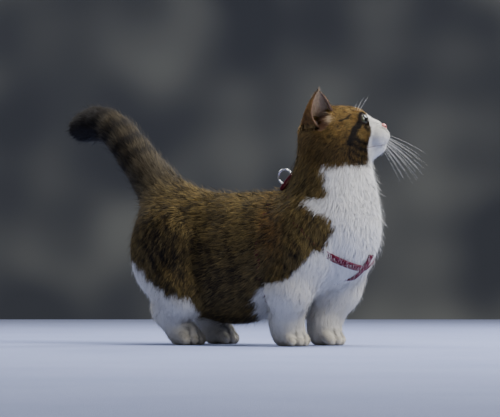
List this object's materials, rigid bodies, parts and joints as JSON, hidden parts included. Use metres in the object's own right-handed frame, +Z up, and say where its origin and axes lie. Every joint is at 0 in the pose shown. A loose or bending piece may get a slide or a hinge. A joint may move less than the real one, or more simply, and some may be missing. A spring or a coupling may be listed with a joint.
{
  "type": "munchkin cat",
  "caption": "Short-legged brown tabby and white cat standing with its head up and tail raised, in a strap harness, life size.",
  "frame": {"origin": "on the floor, below the middle of the cat's box", "axes": "+X towards the front of the body, +Y to the cat's left, +Z up"},
  "size_m": [0.4938, 0.1764, 0.2939],
  "materials": {
    "tabby_coat": "short fur",
    "white_coat": "short fur",
    "dark_coat": "short fur",
    "nose_skin": "moist skin",
    "eye_surface": "wet",
    "webbing": "woven",
    "ring_metal": "polished"
  },
  "bodies": {
    "root": {"belly": "tabby_coat", "chest": "tabby_coat", "ear_left": "tabby_coat", "ear_right": "tabby_coat", "eye_left": "eye_surface", "eye_right": "eye_surface", "foreleg_left": "white_coat", "foreleg_right": "white_coat", "forepaw_left": "white_coat", "forepaw_right": "white_coat", "harness_breast_strap": "webbing", "harness_girth_loop": "webbing", "harness_neck_loop": "webbing", "harness_ring": "ring_metal", "harness_saddle": "webbing", "head": "tabby_coat", "hindleg_left": "white_coat", "hindleg_right": "white_coat", "hindpaw_left": "white_coat", "hindpaw_right": "white_coat", "muzzle": "white_coat", "neck": "white_coat", "nose": "nose_skin", "rump": "tabby_coat", "tail_base": "tabby_coat", "tail_middle": "tabby_coat", "tail_tip": "dark_coat"}
  },
  "joints": []
}
